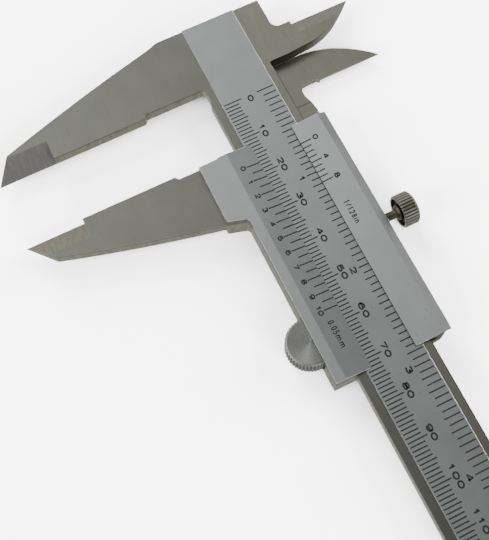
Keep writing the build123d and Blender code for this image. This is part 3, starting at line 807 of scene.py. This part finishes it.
# ---------------------------------------------------------------- operators
class CALIPER_OT_steel(bpy.types.Operator):
    """Gives beam and slider their ground, milled and satin chrome faces"""

    bl_idname = "caliper.steel"
    bl_label = "Beam and slider steel"

    def execute(self, context):
        colours = settings(context)[2]

        def across_beam(finish):
            return finish.axis(finish.place, 1)

        def near(finish, value, centre, half):
            """1 where a value lies within half of a centre, with soft ends."""
            away = finish.calc("ABSOLUTE", finish.calc("SUBTRACT", value, centre))
            return finish.step(away, 1.2 * half, 0.8 * half)

        def vernier_bevel(finish):
            """1 on the lower lip's bevel, whose greyer satin is partly finish and partly painted
            shade, and less on the sloping band along the top, as painted shade.
            """
            y = across_beam(finish)
            lower = finish.both(
                finish.step(y, BAND_Y - 0.03 * MM, BAND_Y + 0.03 * MM),
                finish.step(y, MID_Y + 1 * MM, MID_Y),
            )
            return finish.most(
                lower, finish.step(y, UPPER_TOP_Y, UPPER_TOP_Y + 0.05 * MM, 0.0, 0.4)
            )

        def slider_quiet(finish):
            """The slider's edges get little painted wear and highlight, and both lips' edges get
            none.
            """
            y = across_beam(finish)
            return finish.most(
                near(finish, y, LOWER_EDGE_Y, 0.5 * MM),
                near(finish, y, UPPER_EDGE_Y, 0.5 * MM),
                0.75,
            )

        def beam_corner(finish):
            """The beam's long upper corner, which stays in the inside jaws' shade."""
            low = finish.step(
                finish.axis(finish.place, 2), LEDGE_Z + 0.2 * MM, LEDGE_Z + 0.1 * MM
            )
            past_root = finish.step(
                finish.axis(finish.place, 0), ZERO_X - 6.6 * MM, ZERO_X - 6.2 * MM
            )
            line = near(finish, across_beam(finish), BEAM_TOP_Y, 0.25 * MM)
            return finish.both(low, past_root, line)

        def beam_quiet(finish):
            """Only the scale strip's upper edge is painted bright, as wear and painted highlight.
            """
            y = across_beam(finish)
            lower = finish.step(y, MID_Y + 1 * MM, MID_Y - 1 * MM, 0.0, 0.85)
            upper = finish.step(y, BEAM_TOP_Y + 0.2 * MM, BEAM_TOP_Y + 0.5 * MM, 0.0, 0.9)
            return finish.most(lower, upper, beam_corner(finish))

        def beam_dark(finish):
            """Painted shade on the beam's long upper corner, and on the inside jaw's side towards
            the slider, darkest at its root.
            """
            y = across_beam(finish)
            side = finish.step(finish.axis(finish.face, 0), 0.4, 0.7)
            root = finish.both(
                finish.step(y, BEAM_TOP_Y - 0.5 * MM, BEAM_TOP_Y),
                finish.step(y, BEAM_TOP_Y + 18 * MM, BEAM_TOP_Y, 0.0, 0.85),
                side,
            )
            return finish.most(root, finish.both(beam_corner(finish), 0.45))

        def blade_step(finish):
            """The painted shadow line of the fine ground step at the moving inside jaw's root."""
            line = near(finish, finish.axis(finish.place, 0), BLADE_STEP_X, 0.10 * MM)
            flat = finish.step(finish.axis(finish.face, 2), 0.90, 0.95)
            upper = finish.step(across_beam(finish), BEAM_TOP_Y - 0.5 * MM, BEAM_TOP_Y)
            return finish.both(line, flat, upper)

        def slider_dark(finish):
            """Painted shade: the step's shadow line, the shadow along the upper lip's edge, and
            shade on the lower side faces and on the right end's upper half.
            """
            x, y = finish.axis(finish.place, 0), across_beam(finish)
            end = finish.both(
                finish.step(x, SLIDER_END_X - 2.4 * MM, SLIDER_END_X - 1.8 * MM, 0.0, 0.8),
                finish.step(finish.axis(finish.face, 2), 0.6, 0.4),
                finish.step(y, BEAM_TOP_Y - 0.5 * MM, BEAM_TOP_Y),
            )
            lip = finish.both(near(finish, y, UPPER_EDGE_Y, 0.08 * MM), 0.8)
            lower = finish.step(finish.axis(finish.face, 1), -0.6, -0.9, 0.0, 0.35)
            return finish.most(blade_step(finish), end, lip, lower)

        beam = caliper_steel(
            "beam_steel",
            colours,
            BEAM_FACET_LIT_TONES,
            lambda finish: 1.0,
            beam_quiet,
            beam_dark,
        )
        dress("main_beam", beam)
        slider = caliper_steel(
            "slider_steel",
            colours,
            SLIDER_FACET_LIT_TONES,
            vernier_bevel,
            slider_quiet,
            slider_dark,
        )
        dress("slider_frame", slider)
        return {"FINISHED"}


class CALIPER_OT_small_parts(bpy.types.Operator):
    """Gives gib, shoe, screws, rivets, axle, cover, rod and end stop their metals"""

    bl_idname = "caliper.small_parts"
    bl_label = "Small parts"

    def execute(self, context):
        colours = settings(context)[2]
        bronze = simple_metal("rolled_bronze", colours.bronze, 0.38, (300, 8000, 8000), 0.14)
        screws = simple_metal("screw_steel", colours.screw_steel, 0.38, (5000, 5000, 5000), 0.16)
        cover = simple_metal("cover_satin", colours.scale_satin, 0.38, (120, 7000, 7000), 0.12)
        rod = simple_metal("drawn_rod", colours.rod_steel, 0.30, (60, 9000, 9000), 0.16)
        stop = simple_metal("stop_steel", colours.ground_steel, 0.34, (6000, 200, 6000), 0.16)
        for material, nodes in (
            (bronze, ("gib", "clamp_shoe")),
            (screws, ("gib_screws", "back_cover_screws", "end_stop_screws", "roller_axle")),
            (cover, ("back_cover",)),
            (rod, ("depth_rod", "depth_rod_rivets")),
            (stop, ("end_stop",)),
        ):
            for node in nodes:
                dress(node, material)
        return {"FINISHED"}


class CALIPER_OT_beam_scales(bpy.types.Operator):
    """Makes the millimetre and inch graduations and their numerals on the beam"""

    bl_idname = "caliper.beam_scales"
    bl_label = "Scales on the beam"

    def execute(self, context):
        marks, _, colours, _ = settings(context)
        filling = filling_material(colours)
        count = np.arange(marks.last_millimetre + 1)
        reach = np.where(count % 10 == 0, -1.95, np.where(count % 5 == 0, -2.5, -3.0)) * MM
        lines = bars(
            ZERO_X + count * MM, MILLIMETRE_FOOT_Y, MID_Y + reach, marks, strip_height
        )
        numbers = [
            (str(n), ZERO_X + n * MM, MILLIMETRE_NUMERAL_Y)
            for n in range(10, marks.last_millimetre + 1, 10)
        ] + [("0", ZERO_X + 0.84 * MM, MID_Y + 0.15 * MM)]
        tall = marks.scale_numeral
        words = lettering(
            numbers, tall, 1.2 * tall, 0.26 * tall, 2.0 * MM, marks, strip_height
        )
        closed_piece("millimetre_scale", *join(lines, words), "beam", "jaw_steel", filling)
        count = np.arange(16 * marks.last_inch + 1)
        reach = np.where(count == 0, 2.2, np.where(count % 2 == 0, 2.72, 3.2)) * MM
        lines = bars(
            ZERO_X + count * INCH / 16, MID_Y + reach, INCH_FOOT_Y, marks, strip_height
        )
        numbers = [
            (str(n), ZERO_X + n * INCH, INCH_NUMERAL_Y) for n in range(1, marks.last_inch + 1)
        ]
        tall = marks.scale_numeral * 1.04
        words = lettering(
            numbers, tall, 1.16 * tall, 0.25 * tall, 2.0 * MM, marks, strip_height
        )
        closed_piece("inch_scale", *join(lines, words), "beam", "jaw_steel", filling)
        return {"FINISHED"}


class CALIPER_OT_verniers(bpy.types.Operator):
    """Makes both verniers and their unit marks on the slider"""

    bl_idname = "caliper.verniers"
    bl_label = "Verniers on the slider"

    def execute(self, context):
        marks, _, colours, _ = settings(context)
        filling = filling_material(colours)
        count = np.arange(21)
        step = MILLIMETRE_VERNIER_STEP
        reach = np.where(count % 2 == 0, -9.02, -8.36) * MM
        lines = bars(
            VERNIER_X + count * step,
            MID_Y + reach,
            LOWER_EDGE_Y - 0.02 * MM,
            marks,
            lower_bevel_height,
        )
        numbers = [
            (str(n), VERNIER_X + 2 * n * step - (0.35 * MM if n == 10 else 0), LOWER_NUMERAL_Y)
            for n in range(11)
        ]
        tall = marks.vernier_numeral
        words = lettering(
            numbers, tall, 0.98 * tall, 0.24 * tall, 1.3 * MM, marks, lower_bevel_height
        )
        label = lettering(
            [("0.05mm", VERNIER_X + 45.0 * MM, LOWER_LABEL_Y)],
            1.5 * MM,
            0.78 * MM,
            0.24 * MM,
            1.0 * MM,
            marks,
            lower_bevel_height,
        )
        closed_piece(
            "millimetre_vernier", *join(lines, words, label), "slider", "satin_chrome", filling
        )
        count = np.arange(9)
        step = INCH_VERNIER_STEP
        reach = np.where(count % 4 == 0, 7.9, 7.3) * MM
        lines = bars(
            VERNIER_X + count * step,
            UPPER_EDGE_Y + 0.02 * MM,
            MID_Y + reach,
            marks,
            upper_lip_height,
        )
        numbers = [(str(n), VERNIER_X + n * step, UPPER_NUMERAL_Y) for n in (0, 4, 8)]
        tall = 1.05 * marks.vernier_numeral
        words = lettering(
            numbers, tall, 0.98 * tall, 0.25 * tall, 1.3 * MM, marks, upper_lip_height
        )
        label = lettering(
            [("1/128in", VERNIER_X + 20.7 * MM, UPPER_LABEL_Y)],
            1.42 * MM,
            0.74 * MM,
            0.25 * MM,
            1.0 * MM,
            marks,
            upper_lip_height,
        )
        closed_piece("inch_vernier", *join(lines, words, label), "slider", "satin_chrome", filling)
        return {"FINISHED"}


class CALIPER_OT_clamp_screw(bpy.types.Operator):
    """Turns the clamp screw with its thread, collar, knurled head and domed top"""

    bl_idname = "caliper.clamp_screw"
    bl_label = "Clamp screw"

    def execute(self, context):
        sizes, colours = settings(context)[1:3]
        head = (SCREW_HIGH.x - SCREW_LOW.x) / 2
        bottom, top = SCREW_LOW.y, SCREW_HIGH.y
        under = top - 4.2 * MM  # underside of the head
        shank, collar = 1.13 * MM, 1.9 * MM
        corners = [
            (0, bottom),
            (shank - 0.2 * MM, bottom),
            (shank, bottom + 0.2 * MM),
            (shank, under - 0.95 * MM),
            (collar - 0.3 * MM, under - 0.5 * MM),
            (collar, under),
            (collar, under + 0.75 * MM),
            (head - 0.75 * MM, under + 0.75 * MM),
            (head - 0.60 * MM, under),
            (head - 0.25 * MM, under),
            (head, under + 0.25 * MM),
            (head, top - 0.9 * MM),
            (head - 0.30 * MM, top - 0.5 * MM),
            (head - 0.95 * MM, top - 0.14 * MM),
            (head - 1.9 * MM, top),
            (0, top),
        ]
        profile = profile_points(corners, [4, 1, 72, 4, 4, 3, 4, 3, 2, 3, 12, 3, 3, 3, 4])
        segments = 8 * sizes.screw_knurls
        turn = np.arange(segments) / segments
        radius, height = profile[1:-1, 0], profile[1:-1, 1]
        # knurl: V grooves with narrow flat tops, fading out over the chamfer and the dome
        phase = np.abs((turn * sizes.screw_knurls) % 1 - 0.5) * 2
        fade = np.clip((radius - (head - 0.3 * MM)) / (0.25 * MM), 0, 1)
        cut = sizes.screw_groove * fade[:, None] * np.clip(phase * 2 - 1, 0, 1)
        # thread: a triangular wave that climbs one pitch in each turn
        wave = (height[:, None] / sizes.thread_pitch - turn) % 1
        on_shank = np.clip((under - 0.9 * MM - height) / (0.3 * MM), 0, 1) * np.clip(
            (height - bottom) / (0.4 * MM), 0, 1
        )
        on_shank = on_shank * (np.abs(radius - shank) < 0.01 * MM)
        cut = cut + sizes.thread_depth * on_shank[:, None] * np.abs(wave - 0.5) * 2
        points, faces, uv = turned(profile, cut, segments)
        # painted shade: grooves, the dish under the head, the shank and the collar are dark
        dish = (radius > collar - 0.05 * MM) & (radius < head - 0.62 * MM)
        dish = dish & (np.abs(height - under) < 0.8 * MM)
        shade = np.where(height < under - 0.9 * MM, 0.25, 0.65)
        shade = np.where(dish, 0.9, np.where(height < under + 0.76 * MM, shade, 0.0))
        shade = np.where(radius > head - 0.62 * MM, 0.0, shade)
        groove = np.maximum(np.clip(cut / sizes.screw_groove, 0, 1), shade[:, None])
        groove = np.append(groove.ravel(), [0, 0])
        # the outline's own axis becomes +Y: across is X, and up is -Z, which keeps it right-handed
        centre = (SCREW_LOW + SCREW_HIGH) / 2
        points = np.stack(
            [centre.x + points[:, 0], points[:, 2], centre.z - points[:, 1]], -1
        )
        metal = simple_metal(
            "clamp_screw_steel",
            [1.7 * value for value in colours.screw_steel],
            0.34,
            (2500, 900, 2500),
            0.25,
            0.09 * MM,
            (0.8, 0.78, 0.7),
            0.9,
        )
        piece = closed_piece(
            "clamp_screw_turned", points, faces, "screw", "screw_steel", metal, uv, groove
        )
        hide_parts("clamp_screw")
        return {"FINISHED"}


class CALIPER_OT_thumb_roller(bpy.types.Operator):
    """Turns the thumb roller with its spun face, chamfers, knurled rim and blind bore"""

    bl_idname = "caliper.thumb_roller"
    bl_label = "Thumb roller"

    def execute(self, context):
        sizes, colours = settings(context)[1:3]
        rim = (ROLLER_HIGH.x - ROLLER_LOW.x) / 2
        bore = (AXLE_HIGH.x - AXLE_LOW.x) / 2 + 0.05 * MM
        back, front = ROLLER_LOW.z, ROLLER_HIGH.z
        web = front - 0.7 * MM
        corners = [
            (0, web),
            (bore, web),
            (bore, back),
            (rim - 0.40 * MM, back),
            (rim, back + 0.40 * MM),
            (rim, front - 0.45 * MM),
            (rim - 0.42 * MM, front - 0.03 * MM),
            (rim - 0.55 * MM, front),
            (0, front),
        ]
        profile = profile_points(corners, [2, 4, 4, 4, 10, 4, 2, 12])
        segments = 10 * sizes.roller_knurls
        turn = np.arange(segments) / segments
        radius = profile[1:-1, 0]
        phase = np.abs((turn * sizes.roller_knurls) % 1 - 0.5) * 2
        fade = np.clip((radius - (rim - 0.22 * MM)) / (0.2 * MM), 0, 1)
        cut = sizes.roller_groove * fade[:, None] * np.clip(phase * 1.4 - 0.4, 0, 1)
        points, faces, uv = turned(profile, cut, segments)
        groove = np.append(np.clip(cut / sizes.roller_groove, 0, 1).ravel(), [0, 0])
        centre = (ROLLER_LOW + ROLLER_HIGH) / 2
        points = points + np.array([centre.x, centre.y, 0])
        finish = Finish("roller_spun", 0.3)
        offset = finish.vector("SUBTRACT", finish.place, (centre.x, centre.y, 0))[0]
        flat = finish.vector("MULTIPLY", offset, (1, 1, 0))[0]
        spun = finish.nodes.new("ShaderNodeTexNoise")
        spun.noise_dimensions = "1D"
        finish.link(finish.vector("LENGTH", flat)["Value"], spun.inputs["W"])
        spun.inputs["Scale"].default_value = 3500
        spun.inputs["Detail"].default_value = 3
        # the spun face has a painted highlight along one diameter and is finely streaked along all
        # others
        ray = finish.vector("NORMALIZE", flat)[0]
        along = finish.vector("DOT_PRODUCT", ray, (0.75, -0.66, 0))["Value"]
        painted_highlight = finish.calc("POWER", finish.calc("ABSOLUTE", along), 14.0)
        streaks = finish.noise((14, 14, 14), 3.0, ray)
        cloud = finish.noise((500, 500, 500), 2.0)
        colour = finish.shade(tuple(colours.roller_steel), 0.10, spun.outputs[0])
        colour = finish.shade(colour, 0.30, streaks)
        colour = finish.shade(colour, 0.12, cloud)
        colour = finish.blend(finish.calc("MULTIPLY", painted_highlight, 0.55), colour, (0.88, 0.88, 0.84))
        upright = finish.calc("ABSOLUTE", finish.axis(finish.face, 2))
        # painted shade on the rim's side faces
        rim_shade = finish.step(upright, 0.35, 0.15, 0.0, 0.8)
        colour = finish.blend(rim_shade, colour, (0.16, 0.15, 0.115))
        # painted highlight on the chamfers
        chamfer = finish.calc(
            "MULTIPLY", finish.step(upright, 0.3, 0.5), finish.step(upright, 0.97, 0.9, 0.0, 0.7)
        )
        colour = finish.blend(chamfer, colour, (0.90, 0.89, 0.84))
        # edges painted lighter: partly wear, partly painted highlight
        worn, rounded = finish.edges(0.08 * MM)
        colour = finish.blend(finish.calc("MULTIPLY", worn, 0.5), colour, (0.86, 0.85, 0.80))
        # painted shade in the knurl's grooves
        colour = finish.grooves(colour, 0.9)
        rough = finish.calc("MULTIPLY_ADD", spun.outputs[0], 0.14, 0.22)
        tangent = finish.nodes.new("ShaderNodeTangent")
        tangent.direction_type = "UV_MAP"
        tangent.uv_map = "UVMap"
        finish.shader.inputs["Anisotropic"].default_value = 0.75
        finish.link(tangent.outputs[0], finish.shader.inputs["Tangent"])
        normal = finish.bump(spun.outputs[0], 0.002 * MM, 0.3, rounded)
        metal = finish.use(colour, rough, normal)
        piece = closed_piece(
            "thumb_roller_turned", points, faces, "roller", "roller_steel", metal, uv, groove
        )
        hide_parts("thumb_roller")
        return {"FINISHED"}


class CALIPER_OT_stage(bpy.types.Operator):
    """Sets up the pale floor, the soft lights and the camera"""

    bl_idname = "caliper.stage"
    bl_label = "Stage"

    def execute(self, context):
        stage = settings(context)[3]
        scene = context.scene
        low, high = CAD_BOX
        half = 3.0  # half the floor's side
        floor = bpy.data.meshes.new("floor")
        floor.from_pydata(
            [(-half, -half, 0), (half, -half, 0), (half, half, 0), (-half, half, 0)],
            [],
            [(0, 1, 2, 3)],
        )
        floor.transform(Matrix.Translation((0, 0, low.z - 0.02 * MM)))
        paper = bpy.data.materials.new("pale_floor")
        paper.use_nodes = True
        shader = paper.node_tree.nodes["Principled BSDF"]
        shader.inputs["Base Color"].default_value = (*stage.floor_colour, 1)
        shader.inputs["Roughness"].default_value = 0.9
        shader.inputs["Specular IOR Level"].default_value = 0.1
        floor.materials.append(paper)
        ground = bpy.data.objects.new("floor", floor)
        ground.visible_glossy = False  # the metal mirrors the room, not the lit floor
        scene.collection.objects.link(ground)

        # the room is brighter to the left and front. Its upper light has a second gradient that
        # brightens the far right again, and its lower light has one gradient.
        world = bpy.data.worlds.new("studio")
        world.use_nodes = True
        nodes, links = world.node_tree.nodes, world.node_tree.links
        sky = nodes["Background"]
        way = nodes.new("ShaderNodeTexCoord")
        lean = nodes.new("ShaderNodeVectorMath")
        lean.operation = "DOT_PRODUCT"
        links.new(way.outputs["Generated"], lean.inputs[0])
        lean.inputs[1].default_value = (-0.8, -0.6, 0)
        parts = nodes.new("ShaderNodeSeparateXYZ")
        links.new(way.outputs["Generated"], parts.inputs[0])
        mix = nodes.new("ShaderNodeMix")
        total = nodes.new("ShaderNodeMath")
        total.operation = "ADD"
        links.new(total.outputs[0], mix.inputs["A"])
        for source, socket, ends in (
            (parts.outputs["Z"], mix.inputs["Factor"], (0.15, -0.35, 0.0, 1.0)),
            (lean.outputs["Value"], total.inputs[0], (-0.25, 0.45, *stage.light_above)),
            (lean.outputs["Value"], total.inputs[1], (-0.40, -0.80, 0.0, stage.light_behind)),
            (lean.outputs["Value"], mix.inputs["B"], (-0.45, 0.45, *stage.light_below)),
        ):
            ramp = nodes.new("ShaderNodeMapRange")
            for value, name in zip(ends, ("From Min", "From Max", "To Min", "To Max")):
                ramp.inputs[name].default_value = value
            links.new(source, ramp.inputs["Value"])
            links.new(ramp.outputs[0], socket)
        links.new(mix.outputs["Result"], sky.inputs["Strength"])
        sky.inputs["Color"].default_value = (0.98, 1.0, 0.99, 1)
        scene.world = world

        middle = (low + high) / 2
        lights = [
            ("side_left", (-1.1, -0.1, 0.55), stage.side_power, False),
            ("side_right", (1.0, 0.25, 0.55), stage.side_power, False),
            ("side_front", (-0.1, -1.1, 0.6), stage.side_power, False),
            ("side_back", (0.0, 1.1, 0.55), stage.side_power, False),
            ("edge_light", (-0.35, 1.2, 0.05), stage.edge_power, True),
            ("soft_box", (-0.62, -0.22, 0.85), stage.box_power, True),
        ]
        for name, place, power, mirrored in lights:
            lamp = bpy.data.lights.new(name, "AREA")
            lamp.shape = "SQUARE"
            lamp.size = 0.7
            lamp.energy = power
            holder = bpy.data.objects.new(name, lamp)
            holder.location = middle + Vector(place)
            holder.rotation_euler = (-Vector(place)).to_track_quat("-Z", "Y").to_euler()
            holder.visible_glossy = mirrored
            scene.collection.objects.link(holder)

        camera = bpy.data.cameras.new("camera")
        camera.lens = stage.lens
        camera.sensor_width = 36.0
        camera.clip_start, camera.clip_end = 0.01, 20.0
        holder = bpy.data.objects.new("camera", camera)
        holder.location = (ZERO_X + 105.8 * MM, MID_Y - 46.1 * MM, 200.2 * MM)
        holder.rotation_euler = Euler([math.radians(a) for a in (19.952, 1.633, 64.2)])
        scene.collection.objects.link(holder)
        scene.camera = holder
        return {"FINISHED"}


class CALIPER_PT_panel(bpy.types.Panel):
    """Lists the caliper's steps and settings"""

    bl_idname = "CALIPER_PT_panel"
    bl_label = "Vernier caliper"
    bl_space_type = "VIEW_3D"
    bl_region_type = "UI"
    bl_category = "Caliper"

    def draw(self, context):
        for step in STEPS:
            self.layout.operator(step.bl_idname)
        for group in settings(context):
            box = self.layout.box()
            for name in group.__annotations__:
                box.prop(group, name)


GROUPS = {
    "caliper_marks": CaliperMarks,
    "caliper_turned": CaliperTurned,
    "caliper_finishes": CaliperFinishes,
    "caliper_stage": CaliperStage,
}
STEPS = (
    CALIPER_OT_stage,
    CALIPER_OT_steel,
    CALIPER_OT_small_parts,
    CALIPER_OT_beam_scales,
    CALIPER_OT_verniers,
    CALIPER_OT_clamp_screw,
    CALIPER_OT_thumb_roller,
)


def register():
    for group in (*GROUPS.values(), *STEPS, CALIPER_PT_panel):
        bpy.utils.register_class(group)
    for name, group in GROUPS.items():
        setattr(bpy.types.Scene, name, PointerProperty(type=group))


def unregister():
    for name in GROUPS:
        delattr(bpy.types.Scene, name)
    for group in reversed((*GROUPS.values(), *STEPS, CALIPER_PT_panel)):
        bpy.utils.unregister_class(group)


def main():
    register()
    for step in STEPS:
        package, name = step.bl_idname.split(".")
        getattr(getattr(bpy.ops, package), name)()
    bpy.context.view_layer.update()


if __name__ == "__main__":
    main()
